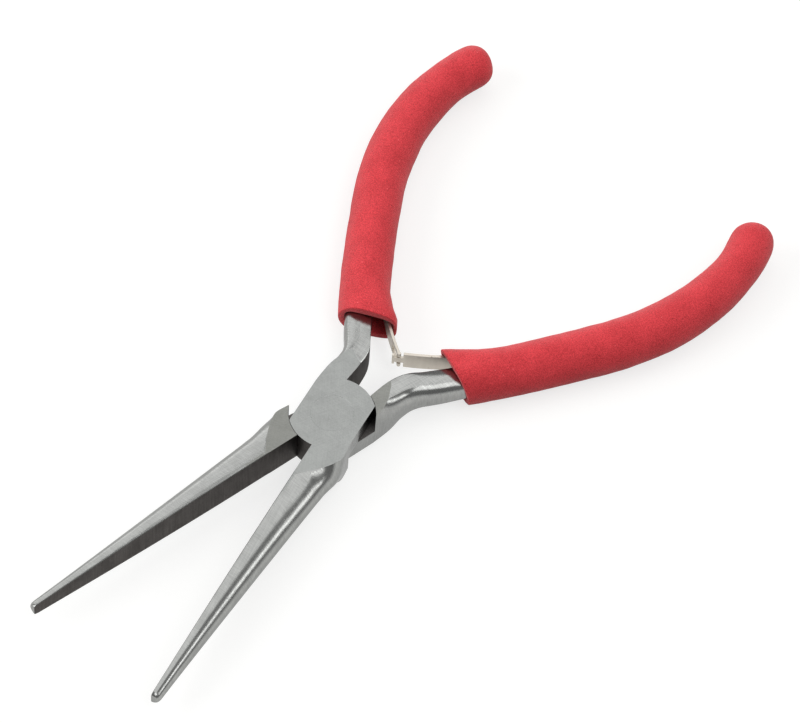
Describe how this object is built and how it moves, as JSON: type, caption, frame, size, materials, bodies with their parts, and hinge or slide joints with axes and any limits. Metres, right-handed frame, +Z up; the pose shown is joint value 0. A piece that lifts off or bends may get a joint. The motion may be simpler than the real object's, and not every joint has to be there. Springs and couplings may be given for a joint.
{
  "type": "long-nose pliers",
  "caption": "Slim long-nose pliers with a lap joint, long smooth tapered jaws, hooked leaf return springs and foam sleeve grips, standing sprung open.",
  "frame": {"origin": "centre of the pivot on the underside of the joint", "axes": "+Z up along the pivot, +Y from the pivot towards the handles along the line between them, +X to the right; the jaws point along -Y; the tool stands sprung open"},
  "size_m": [0.0744, 0.1448, 0.0091],
  "materials": {
    "ground_steel": "satin, ground flat at the joint and polished lengthwise on the jaws",
    "rivet_steel": "ground flush",
    "spring_nickel": "nickel plated, satin",
    "foam": "closed-cell foam with a fine matt skin"
  },
  "bodies": {
    "upper": {"upper_half": "ground_steel", "pivot_rivet": "rivet_steel", "upper_grip": "foam", "fork_leaf_foot": "spring_nickel", "upper_foot_rivet": "rivet_steel"},
    "lower": {"lower_half": "ground_steel", "lower_grip": "foam", "tongue_leaf_foot": "spring_nickel", "lower_foot_rivet": "rivet_steel"},
    "fork_spring": {"fork_leaf": "spring_nickel"},
    "tongue_spring": {"tongue_leaf": "spring_nickel"}
  },
  "joints": [
    {"name": "pivot", "type": "hinge", "parent": "upper", "child": "lower", "pos_m": [0, 0, 0.00325], "axis": [0, 0, 1], "range_deg": [0, 23.6], "stiffness_Nm_per_rad": 0.6, "springref_deg": -2.86},
    {"name": "fork_flex", "type": "hinge", "parent": "upper", "child": "fork_spring", "pos_m": [-0.01242, 0.02849, 0.00325], "axis": [0, 0, 1], "range_deg": [-17, 0]},
    {"name": "tongue_flex", "type": "hinge", "parent": "lower", "child": "tongue_spring", "pos_m": [0.01242, 0.02849, 0.00325], "axis": [0, 0, 1], "range_deg": [0, 17]}
  ],
  "couplings": [
    {"joint": "fork_flex", "follows": "pivot", "ratio": -0.681},
    {"joint": "tongue_flex", "follows": "pivot", "ratio": 0.681}
  ]
}
